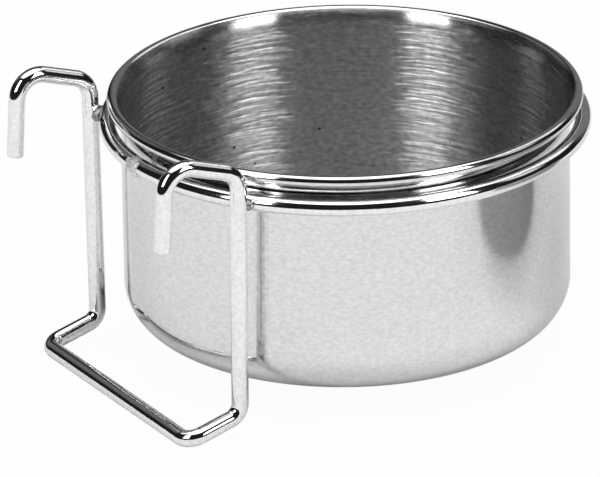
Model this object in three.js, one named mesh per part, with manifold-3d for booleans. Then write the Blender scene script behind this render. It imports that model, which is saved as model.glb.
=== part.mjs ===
// Crate dog bowl: a drawn steel cup that sits in a welded wire ring, hung by two hooks on a crate wall.
// Millimetres, +Z up. The origin is the centre of the underside of the cup's flat base.
// The hooks and the crossbar face -Y, towards the crate wall, and X runs along the crossbar.
import * as THREE from "three";
import { mergeVertices } from "three/addons/utils/BufferGeometryUtils.js";
import Module from "manifold-3d";

// Cup
const SHEET = 0.6; // thickness of the drawn sheet
const WALL_DIAMETER = 132; // outside of the straight wall
const CUP_HEIGHT = 71.3; // base to the top of the rim
const BASE_CORNER = 13; // outside radius between base and wall
const RIM_OVERHANG = 4; // how far the rolled rim stands out from the wall
const RIM_BEAD = 3.4; // outside diameter of the rolled rim
const FLARE_BEND = 4.8; // outside radius of the bend from the wall out to the rim
const CURL_MOUTH = THREE.MathUtils.degToRad(-95); // where the rolled edge ends, from outward, under the rim

// Wire holder
const WIRE = 5; // diameter of the ring and hanger wire
const RING_CLEARANCE = 1.4; // ring to cup wall, all round
const CUP_RAISED = 3.2; // how far the cup stands above its seat, where the rim lies on the ring
const LEG_SPACING = 86.5; // between the two legs at the height of the ring
const LEG_SPLAY = THREE.MathUtils.degToRad(1.1); // each leg leans in towards its foot
const LEG_ABOVE_RING = 10.5; // ring axis to the corner between leg and hook
const LEG_BELOW_RING = 65.1; // ring axis to the corner between leg and kick-out
const HOOK_DEPTH = 23.8; // leg axis to the outer corner of the hook
const HOOK_RISE = THREE.MathUtils.degToRad(18.2); // the hook climbs away from the leg
const TIP_LENGTH = 26.5; // outer corner of the hook to the cut end of the tip, downwards
const TIP_LEAN = THREE.MathUtils.degToRad(3.6); // the tip leans away from the leg
const KICK_DEPTH = 17.4; // leg axis to the crossbar axis
const KICK_DROP = 4.7; // how far the crossbar hangs under the leg's corner
const HOOK_BEND = 7; // bend radius of the hook's corners, on the wire's axis
const FOOT_BEND = 4.5; // bend radius of the kick-out's corners, on the wire's axis

// Welds
const BUTT_LENGTH = 4.6; // length of the ring's butt weld
const BUTT_SWELL = 0.5; // how far the butt weld stands out from the wire
const FILLET_WIDTH = 7.6; // leg weld along the ring
const FILLET_HEIGHT = 6.2; // leg weld along the leg
const FILLET_DEPTH = 4.4; // leg weld from wire to wire

// Fit and facets
const FIT_GAP = 0.3; // between pieces that touch
const CUP_FACETS = 60;
const RING_STEPS = 60;
const RING_SIDES = 12;
const HANGER_SIDES = 24;
const BEND_STEP = THREE.MathUtils.degToRad(15);
const CORNER_STEP = THREE.MathUtils.degToRad(13);
const CURL_STEP = THREE.MathUtils.degToRad(26);
const WELD_FACETS = 20;
const BUTT_BANDS = 6;

// Worked out from the sizes above
const wallRadius = WALL_DIAMETER / 2;
const rimRadius = wallRadius + RIM_OVERHANG;
const ringRadius = wallRadius + RING_CLEARANCE + WIRE / 2;
const bead = new THREE.Vector2(rimRadius - RIM_BEAD / 2, CUP_HEIGHT - RIM_BEAD / 2);
const beadSeat = new THREE.Vector2(bead.x, bead.y - CUP_RAISED);
const seatReach = WIRE / 2 + RIM_BEAD / 2 + FIT_GAP;
const ringHeight = beadSeat.y - Math.sqrt(seatReach ** 2 - (ringRadius - beadSeat.x) ** 2);

const wasm = await Module();
wasm.setup();

// Joining and cutting

function solidFrom(geometry) {
  const bare = geometry.clone();
  bare.deleteAttribute("normal");
  bare.deleteAttribute("uv");
  const merged = mergeVertices(bare, 1e-4);
  const mesh = new wasm.Mesh({
    numProp: 3,
    vertProperties: merged.attributes.position.array,
    triVerts: new Uint32Array(merged.index.array),
  });
  return new wasm.Manifold(mesh);
}

function geometryFrom(solid) {
  const mesh = solid.getMesh();
  const geometry = new THREE.BufferGeometry();
  geometry.setAttribute("position", new THREE.BufferAttribute(mesh.vertProperties, 3));
  geometry.setIndex(new THREE.BufferAttribute(mesh.triVerts, 1));
  geometry.computeVertexNormals();
  return geometry;
}

// Profiles and paths

// Points along a circular arc, both ends included.
function arc(centre, radius, from, to, step) {
  const count = Math.max(1, Math.round(Math.abs(to - from) / step));
  return Array.from({ length: count + 1 }, (_, i) => {
    const angle = from + ((to - from) * i) / count;
    return new THREE.Vector2(centre.x + radius * Math.cos(angle), centre.y + radius * Math.sin(angle));
  });
}

// A path that keeps the stations it is given, so that long straight runs take one step and bends take many.
class WirePath extends THREE.Curve {
  constructor(stations) {
    super();
    this.stations = stations;
  }

  between(t, key) {
    const place = t * (this.stations.length - 1);
    const first = Math.min(Math.floor(place), this.stations.length - 2);
    return this.stations[first][key].clone().lerp(this.stations[first + 1][key], place - first);
  }

  getPoint(t, target = new THREE.Vector3()) {
    return target.copy(this.between(t, "point"));
  }

  getTangent(t, target = new THREE.Vector3()) {
    return target.copy(this.between(t, "along").normalize());
  }

  getUtoTmapping(u) {
    return u;
  }
}

// Straight runs between the corners, with each corner rounded to its bend radius.
function bentPath(corners, bends) {
  const runs = corners.slice(1).map((corner, i) => corner.clone().sub(corners[i]).normalize());
  const stations = [{ point: corners[0], along: runs[0] }];
  bends.forEach((bend, i) => {
    const corner = corners[i + 1];
    const before = runs[i];
    const after = runs[i + 1];
    const turn = before.angleTo(after);
    const axis = before.clone().cross(after).normalize();
    const start = corner.clone().addScaledVector(before, -bend * Math.tan(turn / 2));
    const spoke = axis.clone().cross(before).multiplyScalar(-bend);
    const centre = start.clone().sub(spoke);
    const count = Math.ceil(turn / BEND_STEP);
    for (let k = 0; k <= count; k++) {
      const angle = (turn * k) / count;
      stations.push({
        point: centre.clone().add(spoke.clone().applyAxisAngle(axis, angle)),
        along: before.clone().applyAxisAngle(axis, angle),
      });
    }
  });
  stations.push({ point: corners.at(-1), along: runs.at(-1) });
  return new WirePath(stations);
}

// A wire of many flats, which just holds the round wire of the same diameter.
function wireAlong(path, diameter, sides) {
  const corner = diameter / 2 / Math.cos(Math.PI / sides);
  const section = new THREE.Shape(
    Array.from({ length: sides }, (_, i) => {
      const angle = (2 * Math.PI * (i + 0.5)) / sides;
      return new THREE.Vector2(corner * Math.cos(angle), corner * Math.sin(angle));
    }),
  );
  return new THREE.ExtrudeGeometry(section, { steps: path.stations.length - 1, extrudePath: path });
}

const ringWire = (diameter) => wireAlong(ringPath(), diameter, RING_SIDES);
const hangerWire = (diameter) => wireAlong(hangerPath(), diameter, HANGER_SIDES);

// A profile turned about Z, starting and ending on the axis.
function turned(profile, facets) {
  return new THREE.LatheGeometry(profile, facets).rotateX(Math.PI / 2);
}

// Cup: one sheet turned about Z. The rim is the sheet itself, flared and rolled outwards, so the inside face of
// the wall becomes the outside of the bead and the rolled edge stops short of the wall.
function cupGeometry() {
  const corner = new THREE.Vector2(wallRadius - BASE_CORNER, BASE_CORNER);
  const curlInside = RIM_BEAD / 2 - SHEET;
  const across = bead.x - wallRadius - FLARE_BEND;
  const rise = Math.sqrt((FLARE_BEND - curlInside) ** 2 - across ** 2);
  const flare = new THREE.Vector2(wallRadius + FLARE_BEND, bead.y - rise);
  const curlStart = Math.atan2(rise, across);
  const outside = [
    new THREE.Vector2(0, 0),
    ...arc(corner, BASE_CORNER, -Math.PI / 2, 0, CORNER_STEP),
    ...arc(flare, FLARE_BEND, Math.PI, curlStart, BEND_STEP),
    ...arc(bead, curlInside, curlStart, CURL_MOUTH, CURL_STEP).slice(1),
  ];
  const inside = [
    ...arc(bead, RIM_BEAD / 2, CURL_MOUTH, curlStart, CURL_STEP),
    ...arc(flare, FLARE_BEND + SHEET, curlStart, Math.PI, BEND_STEP).slice(1),
    ...arc(corner, BASE_CORNER - SHEET, 0, -Math.PI / 2, CORNER_STEP),
    new THREE.Vector2(0, SHEET),
  ];
  return turned([...outside, ...inside], CUP_FACETS);
}

// Room that the rolled rim takes up when the cup is let down on to the ring.
function seatRoom() {
  return turned(arc(beadSeat, RIM_BEAD / 2 + FIT_GAP, 0, 2 * Math.PI, CURL_STEP), CUP_FACETS);
}

// Ring: one wire round the cup, open at -Y by the length of its butt weld.
function ringPath() {
  const open = (BUTT_LENGTH / 2 + FIT_GAP) / ringRadius;
  const stations = Array.from({ length: RING_STEPS + 1 }, (_, i) => {
    const angle = -Math.PI / 2 + open + ((2 * Math.PI - 2 * open) * i) / RING_STEPS;
    return {
      point: new THREE.Vector3(ringRadius * Math.cos(angle), ringRadius * Math.sin(angle), ringHeight),
      along: new THREE.Vector3(-Math.sin(angle), Math.cos(angle), 0),
    };
  });
  return new WirePath(stations);
}

// Place of the right leg where it passes the ring, touching the ring's outside.
function legAtRing() {
  const x = LEG_SPACING / 2;
  const reach = ringRadius + WIRE + FIT_GAP;
  return new THREE.Vector3(x, -Math.sqrt(reach ** 2 - x ** 2), ringHeight);
}

// Hanger: one wire, hook to hook, mirrored about the plane between the legs.
function hangerPath() {
  const leg = legAtRing();
  const lean = Math.tan(LEG_SPLAY);
  const top = new THREE.Vector3(leg.x + lean * LEG_ABOVE_RING, leg.y, leg.z + LEG_ABOVE_RING);
  const foot = new THREE.Vector3(leg.x - lean * LEG_BELOW_RING, leg.y, leg.z - LEG_BELOW_RING);
  const hook = top.clone().add(new THREE.Vector3(0, -HOOK_DEPTH, HOOK_DEPTH * Math.tan(HOOK_RISE)));
  const tip = hook.clone().add(new THREE.Vector3(0, -TIP_LENGTH * Math.tan(TIP_LEAN), -TIP_LENGTH));
  const bar = foot.clone().add(new THREE.Vector3(0, -KICK_DEPTH, -KICK_DROP));
  const right = [tip, hook, top, foot, bar];
  const left = right.map((p) => new THREE.Vector3(-p.x, p.y, p.z)).reverse();
  const bends = [HOOK_BEND, HOOK_BEND, FOOT_BEND, FOOT_BEND];
  return bentPath([...right, ...left], [...bends, ...bends.toReversed()]);
}

// Leg weld: a pad of metal round the crossing of leg and ring, hollowed by both wires.
function legWeldGeometry(side) {
  const leg = legAtRing();
  const outward = Math.atan2(leg.y, side * leg.x);
  const middle = ringRadius + (WIRE + FIT_GAP) / 2;
  const pad = new THREE.SphereGeometry(0.5, WELD_FACETS, WELD_FACETS / 2);
  pad.scale(FILLET_DEPTH, FILLET_WIDTH, FILLET_HEIGHT);
  pad.rotateZ(outward);
  pad.translate(middle * Math.cos(outward), middle * Math.sin(outward), ringHeight);
  const cleared = WIRE + 2 * FIT_GAP;
  return geometryFrom(
    solidFrom(pad)
      .subtract(solidFrom(ringWire(cleared)))
      .subtract(solidFrom(hangerWire(cleared))),
  );
}

// Butt weld: a swollen plug between the two ends of the ring, dressed down where the rim comes to lie.
function buttWeldGeometry() {
  const profile = Array.from({ length: BUTT_BANDS + 1 }, (_, i) => {
    const along = i / BUTT_BANDS - 0.5;
    const radius = WIRE / 2 + BUTT_SWELL * Math.cos(Math.PI * along);
    return new THREE.Vector2(radius, along * BUTT_LENGTH);
  });
  const closed = [new THREE.Vector2(0, -BUTT_LENGTH / 2), ...profile, new THREE.Vector2(0, BUTT_LENGTH / 2)];
  const plug = new THREE.LatheGeometry(closed, WELD_FACETS);
  plug.rotateZ(Math.PI / 2);
  plug.translate(0, -ringRadius, ringHeight);
  return geometryFrom(solidFrom(plug).subtract(solidFrom(seatRoom())));
}

// Materials
const steel = (color, roughness) => new THREE.MeshStandardMaterial({ color, roughness, metalness: 1 });
const cupSteel = steel(0xd4d6d8, 0.18);
const wireSteel = steel(0xe2e4e6, 0.12);
const weldSteel = steel(0xc9cacb, 0.32);

// Scene graph
function piece(name, geometry, material) {
  const mesh = new THREE.Mesh(geometry, material);
  mesh.name = name;
  return mesh;
}

const holder = new THREE.Group();
holder.add(piece("hanger_wire", hangerWire(WIRE), wireSteel.clone()));
holder.add(piece("support_ring", ringWire(WIRE), wireSteel.clone()));
holder.add(piece("ring_butt_weld", buttWeldGeometry(), weldSteel.clone()));
holder.add(piece("weld_left", legWeldGeometry(-1), weldSteel.clone()));
holder.add(piece("weld_right", legWeldGeometry(1), weldSteel.clone()));

const bowl = new THREE.Group();
bowl.add(holder);
bowl.add(piece("cup", cupGeometry(), cupSteel));

export default bowl;
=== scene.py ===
"""Crate dog bowl: the drawn steel cup, its wire ring, the bent hanger and the welds, in metres."""

import math

import bmesh
import bpy
from mathutils import Matrix, Vector, noise


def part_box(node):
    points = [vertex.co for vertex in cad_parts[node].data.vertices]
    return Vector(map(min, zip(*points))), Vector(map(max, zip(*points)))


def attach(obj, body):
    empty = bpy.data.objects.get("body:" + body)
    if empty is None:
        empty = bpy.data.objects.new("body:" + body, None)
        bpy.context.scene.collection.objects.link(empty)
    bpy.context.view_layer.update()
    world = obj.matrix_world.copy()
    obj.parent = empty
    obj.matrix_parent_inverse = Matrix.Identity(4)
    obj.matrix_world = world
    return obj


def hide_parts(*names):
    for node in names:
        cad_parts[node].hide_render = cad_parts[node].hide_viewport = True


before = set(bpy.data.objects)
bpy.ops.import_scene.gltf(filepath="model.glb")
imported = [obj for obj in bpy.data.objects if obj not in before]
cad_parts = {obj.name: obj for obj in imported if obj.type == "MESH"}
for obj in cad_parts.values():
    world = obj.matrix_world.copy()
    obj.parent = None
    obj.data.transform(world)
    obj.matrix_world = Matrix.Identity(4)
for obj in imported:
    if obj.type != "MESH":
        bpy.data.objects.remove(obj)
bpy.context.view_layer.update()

# Cup, with the outside face of the sheet as reference
SHEET = 0.0006
WALL_RADIUS = 0.066
BASE_CORNER = 0.013
FLARE_BEND = 0.0056
RIM_RADIUS = 0.07
RIM_BEAD = 0.0034
CURL_MOUTH = math.radians(-95)
CUP_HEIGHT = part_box("cup")[1].z

# Wire holder
RING_LOW, RING_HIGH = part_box("support_ring")
WIRE = RING_HIGH.z - RING_LOW.z
RING_HEIGHT = (RING_HIGH.z + RING_LOW.z) / 2
RING_RADIUS = RING_HIGH.x - WIRE / 2
FIT_GAP = 0.0003
LEG_SPACING = 0.0865
LEG_SPLAY = math.radians(1.1)
LEG_ABOVE_RING = 0.0105
LEG_BELOW_RING = 0.0651
HOOK_DEPTH = 0.0238
HOOK_RISE = math.radians(18.2)
TIP_LENGTH = 0.0265
TIP_LEAN = math.radians(3.6)
KICK_DEPTH = 0.0174
KICK_DROP = 0.0047
HOOK_BEND = 0.007
FOOT_BEND = 0.0045
TIP_ROUNDING = 0.0007
HANGER_TRIM = 0.00002
HANGER_RADIUS = WIRE / 2 - HANGER_TRIM

# Butt weld, a full bead outside that is dressed down on the side of the cup and on top
BUTT_LENGTH = 0.0064
BUTT_SWELL = 0.0009
BUTT_FULLNESS = 0.6
BUTT_LUMP = 0.00045
BUTT_LUMP_SIZE = 0.0013
RING_GAP = BUTT_LENGTH / 2
DRESSED_RADIUS = WIRE / 2 - FIT_GAP / 6
DRESSING_INWARD = 1.6
DRESSING_ON_TOP = 2.2
DRESSING_TOP_START = 0.45

# Fillet welds, drawn in along X, Y and Z by the last value
FILLET_INFLATE = 0.00045
FILLET_VOXEL = 0.00016
FILLET_SOFTENING = 0.5
FILLET_SOFTEN_ROUNDS = 12
FILLET_LUMP = 0.00028
FILLET_LUMP_SIZE = 0.0016
FILLET_SHRINK = (0.78, 1, 0.6)

# Mesh density
CUP_SEGMENTS = 320
WIRE_SIDES = 48
RING_STEPS = 360
BUTT_STEPS = 40
TIP_STEPS = 5
ARC_STEP = math.radians(3)
BEND_STEP = math.radians(3)
WALL_ROWS = 8
SHARP_EDGE = math.radians(35)

# Finishes: greys and roughness run from low to high, noise is in cycles per metre and depths are in metres
NOISE_RANGE = (0.3, 0.7)
BLUE_CAST = 1.01
SPECK_DARKNESS = 0.85
SPECK_CORE = 0.6
LINE_ROUGHNESS = (0, 0.04)

# Polished outside, with cycles round the cup and along its profile, and specks by their spacing and radius
POLISH_GREY = (0.7, 0.83)
POLISH_GRAIN = (650, 1200)
POLISH_LINES = (45, 2600)
POLISH_LINE_DEPTH = 0.000006
POLISH_SPECKS = (0.016, 0.0005)
POLISH_SMUDGES = 55
POLISH_ROUGHNESS = (0.05, 0.11)
POLISH_WAVES = 38
POLISH_WAVE_DEPTH = 0.0001

# Brushed inside and turned flare, with the same kinds of value
BRUSH_GREY = (0.4, 0.66)
BRUSH_STROKES = (90, 820)
BRUSH_LINES = (40, 2600)
BRUSH_LINE_SHARE = 0.1
BRUSH_GRAIN = (500, 950)
BRUSH_SPECKS = (0.012, 0.0007)
BRUSH_ROUGHNESS = (0, 0.07)
BRUSH_TURN = 0.25
FLARE_ROUGHNESS = 0.2
FLARE_DEPTH = 0.00004
INSIDE_ROUGHNESS = 0.29
INSIDE_DEPTH = 0.0006

# Drawn wire, with its lines counted round the wire and along its whole length
WIRE_GREY = (0.82, 0.96)
WIRE_GRAIN = 900
WIRE_LINES = (60, 20)
WIRE_LINE_DEPTH = 0.000004
WIRE_SMUDGES = 120
WIRE_ROUGHNESS = (0.03, 0.09)
WIRE_WAVES = 110
WIRE_WAVE_DEPTH = 0.00004

# Weld beads
FILLET_GREY = (0.22, 0.52)
BUTT_GREY = (0.45, 0.98)
BUTT_METALLIC = 0.5
WELD_SPOTS = 1500
WELD_RIPPLES = 1100
WELD_RIPPLE_DEPTH = 0.0002
WELD_PATCHES = 420
WELD_ROUGHNESS = (0.3, 0.5)

# Camera, fitted to the rim, the ring and the wires
IMAGE_WIDTH = 600
SENSOR = 36
FOCAL_PIXELS = 8457.7
CAMERA_DISTANCE = 2.5
CAMERA_AZIMUTH = math.radians(59.73)
CAMERA_ELEVATION = math.radians(22.599)
CAMERA_ROLL = math.radians(-0.9091)
TARGET_RIGHT = -0.013819
TARGET_HEIGHT = 0.023846

# Studio
FLOOR_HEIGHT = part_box("hanger_wire")[0].z
FLOOR_RADIUS = 0.6
FLOOR_SIDES = 128
FLOOR_WHITE = 0.92
# Shares of the object's shadow that the floor keeps, for the camera and in the metal
# At 1 the metal sees the floor as it is lit, so the floor's glossy and transmission rays change nothing
FLOOR_SHADOW = 0.035
FLOOR_MIRRORED_SHADOW = 1
BACKDROP_WHITE = 1.0
SURROUND = 0.012
# Soft round panels, in degrees: the turn to the right of the camera, the elevation and half the width
PANELS = [
    {"turn": 180, "elevation": 87, "half": 30, "edge": 3, "level": 1.75},
    {"turn": 118, "elevation": 57, "half": 10, "edge": 5, "level": 1.2},
    {"turn": -118, "elevation": 57, "half": 10, "edge": 5, "level": 1.2},
    {"turn": 102, "elevation": 36, "half": 9, "edge": 6, "level": 0.75},
    {"turn": 138, "elevation": 40, "half": 13, "edge": 5, "level": 1},
    {"turn": -140, "elevation": 32, "half": 16, "edge": 10, "level": 0.12},
    {"turn": 165, "elevation": 10, "half": 25, "edge": 15, "level": 0.16},
]
# Upright softboxes, by the degrees to the right of the camera that they cover
SOFTBOX_DISTANCE = 1.2
SOFTBOX_FOOT = 0.4
SOFTBOX_TOP = 1.6
SOFTBOXES = {
    "softbox_right": {"from": 40, "to": 64, "radiance": 5},
    "softbox_left": {"from": -38, "to": -61, "radiance": 5.6},
}
SOFTBOX_LEAN = math.radians(8)
# A grey round flag that stands on the floor to the right
FLAG_RIGHT = 0.229
FLAG_FORWARD = 0.045
FLAG_RADIUS = 0.073
FLAG_HEIGHT = 0.07
FLAG_GREY = 0.42
FLAG_ROUGHNESS = 0.9
FLAG_SIDES = 64

UP = Vector((0, 0, 1))
IMAGE_RIGHT = Vector((math.cos(CAMERA_AZIMUTH), math.sin(CAMERA_AZIMUTH), 0))
TOWARD_CAMERA = Vector((math.sin(CAMERA_AZIMUTH), -math.cos(CAMERA_AZIMUTH), 0))


def arc(centre, radius, start, end):
    """Points (radius from the axis, height) along an arc, both ends included."""
    count = max(2, math.ceil(abs(end - start) / ARC_STEP))
    angles = [start + (end - start) * i / count for i in range(count + 1)]
    return [(centre[0] + radius * math.cos(a), centre[1] + radius * math.sin(a)) for a in angles]


def straight(start, end, rows):
    """Points between two profile points, neither of them included."""
    shares = [i / rows for i in range(1, rows)]
    return [tuple(a + (b - a) * t for a, b in zip(start, end)) for t in shares]


def cup_profile():
    """Three zones: the polished face from the base round the rolled rim, the flare and the inside."""
    bead = (RIM_RADIUS - RIM_BEAD / 2, CUP_HEIGHT - RIM_BEAD / 2)
    curl_inside = RIM_BEAD / 2 - SHEET
    across = bead[0] - WALL_RADIUS - FLARE_BEND
    rise = math.sqrt((FLARE_BEND - curl_inside) ** 2 - across ** 2)
    flare = (WALL_RADIUS + FLARE_BEND, bead[1] - rise)
    flare_end = math.atan2(rise, across)
    corner = (WALL_RADIUS - BASE_CORNER, BASE_CORNER)

    def face(offset):
        base = arc(corner, BASE_CORNER + offset, -math.pi / 2, 0)
        lip = arc(flare, FLARE_BEND - offset, math.pi, flare_end)
        start = (0, base[0][1])
        disc = straight(start, base[0], WALL_ROWS)
        wall = straight(base[-1], lip[0], WALL_ROWS)
        return [start] + disc + base + wall, lip

    below, lip = face(0)
    polished = below + lip + arc(bead, curl_inside, flare_end, CURL_MOUTH)[1:]
    polished += arc(bead, RIM_BEAD / 2, CURL_MOUTH, flare_end)
    below, lip = face(-SHEET)
    return polished, lip[-2::-1], below[::-1]


def add_mesh(name, vertices, faces, corners):
    """A mesh object with one UV pair for each face corner, smooth except at real edges."""
    mesh = bpy.data.meshes.new(name)
    mesh.from_pydata(vertices, [], faces)
    layer = mesh.uv_layers.new(name="OFBake")
    layer.data.foreach_set("uv", [value for pair in corners for value in pair])
    mesh.polygons.foreach_set("use_smooth", [True] * len(mesh.polygons))
    mesh.set_sharp_from_angle(angle=SHARP_EDGE)
    piece = bpy.data.objects.new(name, mesh)
    bpy.context.collection.objects.link(piece)
    return piece


def lathe(name, profile, segments):
    """A closed body turned about Z from a profile that starts and ends on the axis."""
    lengths = [0]
    for a, b in zip(profile, profile[1:]):
        lengths.append(lengths[-1] + math.dist(a, b))
    vertices = [Vector((0, 0, profile[0][1]))]
    for radius, height in profile[1:-1]:
        for j in range(segments):
            turn = 2 * math.pi * j / segments
            vertices.append(Vector((radius * math.cos(turn), radius * math.sin(turn), height)))
    vertices.append(Vector((0, 0, profile[-1][1])))
    last = len(profile) - 1
    pole = len(vertices) - 1

    def at(row, column):
        if row == 0:
            return 0
        if row == last:
            return pole
        return 1 + (row - 1) * segments + column % segments

    faces = []
    corners = []
    for row in range(last):
        for j in range(segments):
            loop = [(row, j), (row, j + 1), (row + 1, j + 1), (row + 1, j)]
            if row == 0:
                loop = loop[1:]
            if row == last - 1:
                loop = loop[:3]
            faces.append([at(*place) for place in loop])
            corners += [(column / segments, lengths[r] / lengths[-1]) for r, column in loop]
    return add_mesh(name, vertices, faces, corners)


def bent_path(bends):
    """Stations (point, tangent) of a wire through corners, each with its own bend radius."""
    points = [point for point, radius in bends]
    stations = []
    for i, (corner, radius) in enumerate(bends):
        if i in (0, len(bends) - 1):
            away = points[1] - corner if i == 0 else corner - points[-2]
            stations.append((corner, away.normalized()))
            continue
        entry = (corner - points[i - 1]).normalized()
        leave = (points[i + 1] - corner).normalized()
        turn = entry.angle(leave)
        start = corner - entry * radius * math.tan(turn / 2)
        inward = (leave - entry * entry.dot(leave)).normalized()
        centre = start + inward * radius
        count = math.ceil(turn / BEND_STEP)
        for k in range(count + 1):
            a = turn * k / count
            point = centre + (entry * math.sin(a) - inward * math.cos(a)) * radius
            stations.append((point, entry * math.cos(a) + inward * math.sin(a)))
    return stations


def rounded_ends(stations, radius, rounding):
    """Rings (point, tangent, radius) along the stations, with both cut ends rounded over."""
    angles = [math.pi / 2 * i / TIP_STEPS for i in range(TIP_STEPS + 1)]
    head, tail = stations[0], stations[-1]
    rings = []
    for a in reversed(angles):
        point = head[0] + head[1] * rounding * (1 - math.sin(a))
        rings.append((point, head[1], radius - rounding * (1 - math.cos(a))))
    rings += [(point, tangent, radius) for point, tangent in stations[1:-1]]
    for a in angles:
        point = tail[0] - tail[1] * rounding * (1 - math.sin(a))
        rings.append((point, tail[1], radius - rounding * (1 - math.cos(a))))
    return rings


def sweep(name, rings, shape=None):
    """A closed round body through rings, each turned as little as possible from the one before."""
    across = rings[0][1].orthogonal().normalized()
    vertices = []
    lengths = [0]
    for i, (point, tangent, radius) in enumerate(rings):
        if i:
            across = rings[i - 1][1].rotation_difference(tangent) @ across
            lengths.append(lengths[-1] + (point - rings[i - 1][0]).length)
        side = tangent.cross(across)
        for j in range(WIRE_SIDES):
            turn = 2 * math.pi * j / WIRE_SIDES
            way = across * math.cos(turn) + side * math.sin(turn)
            reach = shape(point, way, radius) if shape else radius
            vertices.append(point + way * reach)
    faces = []
    corners = []
    for i in range(len(rings) - 1):
        for j in range(WIRE_SIDES):
            loop = [(i, j), (i, j + 1), (i + 1, j + 1), (i + 1, j)]
            faces.append([row * WIRE_SIDES + column % WIRE_SIDES for row, column in loop])
            corners += [(lengths[row] / lengths[-1], column / WIRE_SIDES) for row, column in loop]
    for row, order in ((0, reversed(range(WIRE_SIDES))), (len(rings) - 1, range(WIRE_SIDES))):
        faces.append([row * WIRE_SIDES + j for j in order])
        corners += [(lengths[row] / lengths[-1], j / WIRE_SIDES) for j in range(WIRE_SIDES)]
    return add_mesh(name, vertices, faces, corners)


def ring_stations(start, end, steps):
    """Stations on the ring's centre line between two turns from the butt weld at -Y."""
    stations = []
    for i in range(steps + 1):
        turn = start + (end - start) * i / steps - math.pi / 2
        spoke = Vector((math.cos(turn), math.sin(turn), 0))
        stations.append((spoke * RING_RADIUS + UP * RING_HEIGHT, UP.cross(spoke)))
    return stations


def make_cup():
    zones = cup_profile()
    piece = lathe("drawn_cup", [point for zone in zones for point in zone], CUP_SEGMENTS)
    flare_start = len(zones[0]) - 1
    inside_start = flare_start + len(zones[1])
    rows = [index // CUP_SEGMENTS for index in range(len(piece.data.polygons))]
    finishes = [int(row >= flare_start) + int(row >= inside_start) for row in rows]
    piece.data.polygons.foreach_set("material_index", finishes)
    piece.data.materials.append(polished_sheet())
    piece.data.materials.append(brushed_sheet("turned_flare", FLARE_ROUGHNESS, FLARE_DEPTH))
    piece.data.materials.append(brushed_sheet("brushed_inside", INSIDE_ROUGHNESS, INSIDE_DEPTH))
    return piece


def make_ring():
    gap = RING_GAP / 2 / RING_RADIUS
    stations = ring_stations(gap, 2 * math.pi - gap, RING_STEPS)
    return sweep("ring_wire", [(point, tangent, WIRE / 2) for point, tangent in stations])


def hanger_half(side):
    """Corners from the hook's tip to the crossbar, with the bend at each, for side 1 or -1."""
    x = LEG_SPACING / 2
    y = -math.sqrt((RING_RADIUS + WIRE + FIT_GAP) ** 2 - x ** 2)
    leg = Vector((x, y, RING_HEIGHT))
    lean = Vector((math.tan(LEG_SPLAY), 0, 1))
    top = leg + lean * LEG_ABOVE_RING
    foot = leg - lean * LEG_BELOW_RING
    hook = top + HOOK_DEPTH * Vector((0, -1, math.tan(HOOK_RISE)))
    tip = hook - TIP_LENGTH * Vector((0, math.tan(TIP_LEAN), 1))
    bar = foot - Vector((0, KICK_DEPTH, KICK_DROP))
    half = [(tip, 0), (hook, HOOK_BEND), (top, HOOK_BEND), (foot, FOOT_BEND), (bar, FOOT_BEND)]
    return [(Vector((side * point.x, point.y, point.z)), bend) for point, bend in half]


def make_hanger():
    stations = bent_path(hanger_half(1) + hanger_half(-1)[::-1])
    return sweep("bent_hanger", rounded_ends(stations, HANGER_RADIUS, TIP_ROUNDING))


def lumpy(point, size):
    """Smooth lumps of about the given size, from -1 to 1, the same in each run."""
    return noise.noise(point / size)


def make_butt_weld():
    """A lumpy bead round the ring's joint, dressed down where the cup's wall and rim come close."""
    half = BUTT_LENGTH / 2 / RING_RADIUS
    stations = ring_stations(-half, half, BUTT_STEPS)
    rings = []
    for i, (point, tangent) in enumerate(stations):
        share = 2 * i / (len(stations) - 1) - 1
        swell = BUTT_SWELL * math.cos(share * math.pi / 2) ** BUTT_FULLNESS - FIT_GAP / 2
        rings.append((point, tangent, WIRE / 2 + swell))

    def shape(point, way, radius):
        inward = -way.dot(Vector((point.x, point.y, 0)).normalized())
        on_top = DRESSING_ON_TOP * (way.z - DRESSING_TOP_START)
        dressed = min(1, max(0, DRESSING_INWARD * inward, on_top))
        full = radius + BUTT_LUMP * lumpy(point + way * radius, BUTT_LUMP_SIZE)
        return full + (DRESSED_RADIUS - full) * dressed

    return sweep("butt_weld", rings, shape)


def make_fillet(node, name):
    """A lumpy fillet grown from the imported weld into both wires, then drawn in to the size in the photo."""
    draft = bpy.data.objects.new(name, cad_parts[node].data.copy())
    bpy.context.collection.objects.link(draft)
    remesh = draft.modifiers.new("remesh", "REMESH")
    remesh.mode = "VOXEL"
    remesh.voxel_size = FILLET_VOXEL
    grow = draft.modifiers.new("grow", "DISPLACE")
    grow.strength = FILLET_INFLATE
    grow.mid_level = 0
    soften = draft.modifiers.new("soften", "SMOOTH")
    soften.factor = FILLET_SOFTENING
    soften.iterations = FILLET_SOFTEN_ROUNDS
    evaluated = draft.evaluated_get(bpy.context.evaluated_depsgraph_get())
    mesh = bpy.data.meshes.new_from_object(evaluated)
    draft.modifiers.clear()
    draft.data = mesh
    normals = [vertex.normal.copy() for vertex in mesh.vertices]
    middle = sum((vertex.co for vertex in mesh.vertices), Vector()) / len(mesh.vertices)
    shrink = Vector(FILLET_SHRINK)
    for vertex, normal in zip(mesh.vertices, normals):
        lumpy_point = vertex.co + normal * FILLET_LUMP * lumpy(vertex.co, FILLET_LUMP_SIZE)
        vertex.co = middle + (lumpy_point - middle) * shrink
    mesh.polygons.foreach_set("use_smooth", [True] * len(mesh.polygons))
    return draft


def new_metal(name, metallic=1):
    """A metal whose colour is linked later; returns the material, its tree and its shader."""
    material = bpy.data.materials.new(name)
    material.use_nodes = True
    tree = material.node_tree
    shader = tree.nodes["Principled BSDF"]
    shader.inputs["Metallic"].default_value = metallic
    return material, tree, shader


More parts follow.
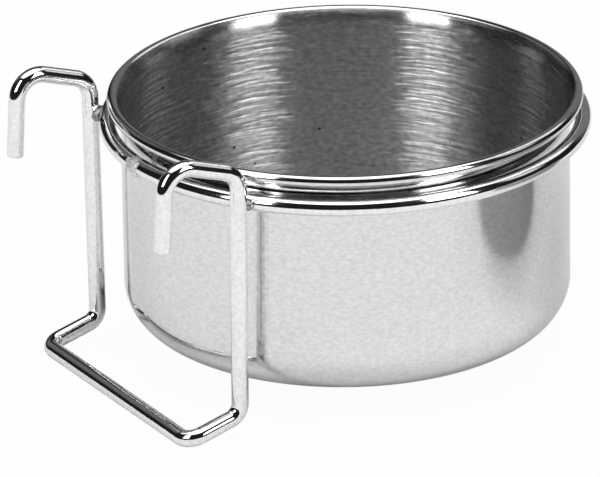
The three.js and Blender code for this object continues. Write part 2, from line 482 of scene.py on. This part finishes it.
def add(tree, kind, settings=None, **inputs):
    """A node with its settings, and each input either linked from a socket or set to a value."""
    node = tree.nodes.new("ShaderNode" + kind)
    for key, value in (settings or {}).items():
        setattr(node, key, value)
    for key, value in inputs.items():
        socket = node.inputs[int(key[1:])] if key[0] == "_" else node.inputs[key.replace("_", " ")]
        if isinstance(value, bpy.types.NodeSocket):
            tree.links.new(value, socket)
        else:
            socket.default_value = value
    return node.outputs[0]


def maths(tree, operation, *values):
    return add(tree, "Math", {"operation": operation}, **{f"_{i}": v for i, v in enumerate(values)})


def spread(tree, value, low, high, source=NOISE_RANGE):
    """A noise value spread from its usual range to another."""
    return add(
        tree, "MapRange", Value=value, From_Min=source[0], From_Max=source[1], To_Min=low, To_Max=high
    )


def noise_at(tree, vector, scale=1, detail=2, roughness=0.5):
    return add(tree, "TexNoise", Vector=vector, Scale=scale, Detail=detail, Roughness=roughness)


def bump(tree, height, distance, normal=None):
    inputs = {"Distance": distance, "Height": height}
    if normal:
        inputs["Normal"] = normal
    return add(tree, "Bump", **inputs)


def turned_coordinates(tree, around, along):
    """A vector that changes slowly round the cup and fast along its profile, on wall and base alike."""
    parts = tree.nodes.new("ShaderNodeSeparateXYZ")
    tree.links.new(object_coordinates(tree), parts.inputs[0])
    x, y, z = parts.outputs
    squares = maths(tree, "ADD", maths(tree, "MULTIPLY", x, x), maths(tree, "MULTIPLY", y, y))
    radius = maths(tree, "SQRT", squares)
    profile = maths(tree, "ADD", radius, z)
    return add(
        tree,
        "CombineXYZ",
        X=maths(tree, "MULTIPLY", x, around),
        Y=maths(tree, "MULTIPLY", y, around),
        Z=maths(tree, "MULTIPLY", profile, along),
    )


def object_coordinates(tree):
    node = tree.nodes.new("ShaderNodeTexCoord")
    return node.outputs["Object"]


def tinted(tree, shader, value, greys, specks=0.0):
    """Base colour between two greys by a noise value, with a faint blue cast, much darker in the specks."""
    clean = maths(tree, "SUBTRACT", 1, maths(tree, "MULTIPLY", specks, SPECK_DARKNESS))
    grey = maths(tree, "MULTIPLY", spread(tree, value, *greys), clean)
    blue = maths(tree, "MULTIPLY", grey, BLUE_CAST)
    colour = add(tree, "CombineColor", Red=grey, Green=grey, Blue=blue)
    tree.links.new(colour, shader.inputs["Base Color"])


def specks_at(tree, place, spacing, radius):
    """1 where the surface cuts one of the specks scattered at the spacing, and 0 elsewhere."""
    reach = radius / spacing
    distance = add(tree, "TexVoronoi", Vector=place, Scale=1 / spacing)
    return spread(tree, distance, 1, 0, (reach * SPECK_CORE, reach))


def polished_sheet():
    """Mirror polish over drawn sheet: faint waviness, buffing lines, soft smudges and a fine grain."""
    material, tree, shader = new_metal("polished_sheet")
    place = object_coordinates(tree)
    grain = noise_at(tree, turned_coordinates(tree, *POLISH_GRAIN), detail=1)
    tinted(tree, shader, grain, POLISH_GREY, specks_at(tree, place, *POLISH_SPECKS))
    smudge = noise_at(tree, place, POLISH_SMUDGES, detail=4, roughness=0.6)
    lines = noise_at(tree, turned_coordinates(tree, *POLISH_LINES), detail=3)
    smudged = spread(tree, smudge, *POLISH_ROUGHNESS)
    rough = maths(tree, "ADD", smudged, spread(tree, lines, *LINE_ROUGHNESS))
    tree.links.new(rough, shader.inputs["Roughness"])
    waves = bump(tree, noise_at(tree, place, POLISH_WAVES, detail=1), POLISH_WAVE_DEPTH)
    buffed = bump(tree, lines, POLISH_LINE_DEPTH, waves)
    tree.links.new(buffed, shader.inputs["Normal"])
    return material


def brushed_sheet(name, roughness, depth):
    """Brush strokes round the cup, of the given depth, finer lines between them and a stretched gloss."""
    material, tree, shader = new_metal(name)
    strokes = noise_at(tree, turned_coordinates(tree, *BRUSH_STROKES), detail=1)
    lines = noise_at(tree, turned_coordinates(tree, *BRUSH_LINES))
    grain = noise_at(tree, turned_coordinates(tree, *BRUSH_GRAIN))
    specks = specks_at(tree, object_coordinates(tree), *BRUSH_SPECKS)
    tinted(tree, shader, grain, BRUSH_GREY, specks)
    stroked = spread(tree, strokes, *BRUSH_ROUGHNESS)
    uneven = maths(tree, "ADD", stroked, spread(tree, lines, *LINE_ROUGHNESS))
    tree.links.new(maths(tree, "ADD", uneven, roughness), shader.inputs["Roughness"])
    coarse = bump(tree, strokes, depth)
    fine = bump(tree, lines, depth * BRUSH_LINE_SHARE, coarse)
    tree.links.new(fine, shader.inputs["Normal"])
    tangent = add(tree, "Tangent", {"direction_type": "RADIAL", "axis": "Z"})
    tree.links.new(tangent, shader.inputs["Tangent"])
    shader.inputs["Anisotropic"].default_value = 1
    shader.inputs["Anisotropic Rotation"].default_value = BRUSH_TURN
    return material


def wire_lines(tree, around, along):
    """A vector that changes slowly along a wire and fast round it."""
    layer = add(tree, "UVMap", {"uv_map": "OFBake"})
    return add(tree, "Mapping", Vector=layer, Scale=(along, around, 1))


def bright_wire():
    """Bright drawn wire: fine lines along it and a slightly uneven gloss."""
    material, tree, shader = new_metal("bright_wire")
    place = object_coordinates(tree)
    drawn = noise_at(tree, wire_lines(tree, *WIRE_LINES), detail=3)
    tinted(tree, shader, noise_at(tree, place, WIRE_GRAIN, detail=1), WIRE_GREY)
    smudged = spread(tree, noise_at(tree, place, WIRE_SMUDGES, detail=3), *WIRE_ROUGHNESS)
    rough = maths(tree, "ADD", smudged, spread(tree, drawn, *LINE_ROUGHNESS))
    tree.links.new(rough, shader.inputs["Roughness"])
    waves = bump(tree, noise_at(tree, place, WIRE_WAVES, detail=1), WIRE_WAVE_DEPTH)
    tree.links.new(bump(tree, drawn, WIRE_LINE_DEPTH, waves), shader.inputs["Normal"])
    return material


def weld_metal(name, greys, metallic=1):
    """Weld bead: small ripples, darker spots and an uneven gloss, duller the less metallic it is."""
    material, tree, shader = new_metal(name, metallic)
    place = object_coordinates(tree)
    ripples = noise_at(tree, place, WELD_RIPPLES)
    tinted(tree, shader, noise_at(tree, place, WELD_SPOTS, detail=1), greys)
    rough = spread(tree, noise_at(tree, place, WELD_PATCHES, detail=3), *WELD_ROUGHNESS)
    tree.links.new(rough, shader.inputs["Roughness"])
    tree.links.new(bump(tree, ripples, WELD_RIPPLE_DEPTH), shader.inputs["Normal"])
    return material


def dress(piece, body, node):
    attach(piece, body)
    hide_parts(node)


def make_object():
    wire = bright_wire()
    fillet_weld = weld_metal("fillet_weld", FILLET_GREY)
    ring = make_ring()
    ring.data.materials.append(wire)
    hanger = make_hanger()
    hanger.data.materials.append(wire)
    butt = make_butt_weld()
    butt.data.materials.append(weld_metal("butt_weld", BUTT_GREY, BUTT_METALLIC))
    dress(make_cup(), "cup", "cup")
    dress(ring, "holder", "support_ring")
    dress(hanger, "holder", "hanger_wire")
    dress(butt, "holder", "ring_butt_weld")
    for side in ("left", "right"):
        fillet = make_fillet(f"weld_{side}", f"leg_weld_{side}")
        fillet.data.materials.clear()
        fillet.data.materials.append(fillet_weld)
        dress(fillet, "holder", f"weld_{side}")


def make_camera():
    back = TOWARD_CAMERA * math.cos(CAMERA_ELEVATION) + UP * math.sin(CAMERA_ELEVATION)
    level = back.cross(IMAGE_RIGHT)
    x_axis = IMAGE_RIGHT * math.cos(CAMERA_ROLL) + level * math.sin(CAMERA_ROLL)
    y_axis = level * math.cos(CAMERA_ROLL) - IMAGE_RIGHT * math.sin(CAMERA_ROLL)
    target = IMAGE_RIGHT * TARGET_RIGHT + UP * TARGET_HEIGHT
    data = bpy.data.cameras.new("camera")
    data.sensor_fit = "HORIZONTAL"
    data.sensor_width = SENSOR
    data.lens = FOCAL_PIXELS * SENSOR / IMAGE_WIDTH
    camera = bpy.data.objects.new("camera", data)
    camera.matrix_world = Matrix((x_axis, y_axis, back)).transposed().to_4x4()
    camera.matrix_world.translation = target + back * CAMERA_DISTANCE
    bpy.context.collection.objects.link(camera)
    bpy.context.scene.camera = camera


def studio_way(turn, elevation):
    """The direction at a turn to the right of the camera and an elevation, both in degrees."""
    turn, elevation = math.radians(turn), math.radians(elevation)
    level = TOWARD_CAMERA * math.cos(turn) + IMAGE_RIGHT * math.sin(turn)
    return level * math.cos(elevation) + UP * math.sin(elevation)


def make_floor():
    """White for the camera, with a weak shadow of the object; the metal sees it as it is lit."""
    turns = [2 * math.pi * i / FLOOR_SIDES for i in range(FLOOR_SIDES)]
    mesh = bpy.data.meshes.new("floor")
    edge = [(FLOOR_RADIUS * math.cos(a), FLOOR_RADIUS * math.sin(a), FLOOR_HEIGHT) for a in turns]
    mesh.from_pydata(edge, [], [range(FLOOR_SIDES)])
    floor = bpy.data.objects.new("floor", mesh)
    bpy.context.collection.objects.link(floor)
    material = bpy.data.materials.new("floor")
    material.use_nodes = True
    tree = material.node_tree
    tree.nodes.clear()
    rays = tree.nodes.new("ShaderNodeLightPath")
    white = add(tree, "Emission", Color=(1, 1, 1, 1))
    matte = add(tree, "BsdfDiffuse", Color=(FLOOR_WHITE, FLOOR_WHITE, FLOOR_WHITE, 1))
    seen = maths(tree, "MULTIPLY", rays.outputs["Is Camera Ray"], 1 - FLOOR_SHADOW)
    shiny = maths(tree, "MAXIMUM", rays.outputs["Is Glossy Ray"], rays.outputs["Is Transmission Ray"])
    mirrored = maths(tree, "MULTIPLY", shiny, 1 - FLOOR_MIRRORED_SHADOW)
    share = maths(tree, "MAXIMUM", seen, mirrored)
    mixed = add(tree, "MixShader", _0=share, _1=matte, _2=white)
    output = tree.nodes.new("ShaderNodeOutputMaterial")
    tree.links.new(mixed, output.inputs["Surface"])
    mesh.materials.append(material)


def panel_level(tree, way, panel):
    """A round panel's level in the world: full inside its edge, none outside."""
    middle = tuple(studio_way(panel["turn"], panel["elevation"]))
    product = tree.nodes.new("ShaderNodeVectorMath")
    product.operation = "DOT_PRODUCT"
    tree.links.new(way, product.inputs[0])
    product.inputs[1].default_value = middle
    outer = math.cos(math.radians(panel["half"] + panel["edge"] / 2))
    inner = math.cos(math.radians(panel["half"] - panel["edge"] / 2))
    return spread(tree, product.outputs["Value"], 0, panel["level"], (outer, inner))


def make_world():
    """A white backdrop for the camera, and for the metal a dark room with a few pale panels."""
    world = bpy.data.worlds.new("studio")
    bpy.context.scene.world = world
    world.use_nodes = True
    tree = world.node_tree
    tree.nodes.clear()
    rays = tree.nodes.new("ShaderNodeLightPath")
    way = tree.nodes.new("ShaderNodeTexCoord").outputs["Generated"]
    level = SURROUND
    for panel in PANELS:
        level = maths(tree, "ADD", level, panel_level(tree, way, panel))
    strength = add(
        tree, "Mix", {"data_type": "FLOAT"}, _0=rays.outputs["Is Camera Ray"], _2=level, _3=BACKDROP_WHITE
    )
    background = add(tree, "Background", Color=(1, 1, 1, 1), Strength=strength)
    output = tree.nodes.new("ShaderNodeOutputWorld")
    tree.links.new(background, output.inputs["Surface"])


def make_softboxes():
    height = SOFTBOX_TOP - SOFTBOX_FOOT
    for name, box in SOFTBOXES.items():
        way = studio_way((box["from"] + box["to"]) / 2, 0)
        width = 2 * SOFTBOX_DISTANCE * math.tan(math.radians(abs(box["to"] - box["from"]) / 2))
        data = bpy.data.lights.new(name, "AREA")
        data.shape = "RECTANGLE"
        data.size = width
        data.size_y = height
        data.energy = box["radiance"] * math.pi * width * height
        lamp = bpy.data.objects.new(name, data)
        lean = math.copysign(SOFTBOX_LEAN, -box["to"])
        upright = way.to_track_quat("Z", "Y").to_matrix() @ Matrix.Rotation(lean, 3, "Z")
        lamp.matrix_world = upright.to_4x4()
        lamp.matrix_world.translation = way * SOFTBOX_DISTANCE + UP * (SOFTBOX_FOOT + height / 2)
        bpy.context.collection.objects.link(lamp)


def make_flag():
    """A grey upright flag beside the object, seen only in the metal."""
    flag_mesh = bpy.data.meshes.new("side_flag")
    shape = bmesh.new()
    bmesh.ops.create_cone(
        shape,
        cap_ends=True,
        segments=FLAG_SIDES,
        radius1=FLAG_RADIUS,
        radius2=FLAG_RADIUS,
        depth=FLAG_HEIGHT,
    )
    shape.to_mesh(flag_mesh)
    shape.free()
    flag = bpy.data.objects.new("side_flag", flag_mesh)
    place = IMAGE_RIGHT * FLAG_RIGHT + TOWARD_CAMERA * FLAG_FORWARD
    flag.location = place + UP * (FLOOR_HEIGHT + FLAG_HEIGHT / 2)
    flag.visible_camera = False
    bpy.context.collection.objects.link(flag)
    material = bpy.data.materials.new("side_flag")
    material.use_nodes = True
    shader = material.node_tree.nodes["Principled BSDF"]
    shader.inputs["Base Color"].default_value = (FLAG_GREY, FLAG_GREY, FLAG_GREY, 1)
    shader.inputs["Roughness"].default_value = FLAG_ROUGHNESS
    flag_mesh.materials.append(material)


bpy.context.scene.view_settings.view_transform = "Standard"
make_object()
make_camera()
make_floor()
make_world()
make_softboxes()
make_flag()
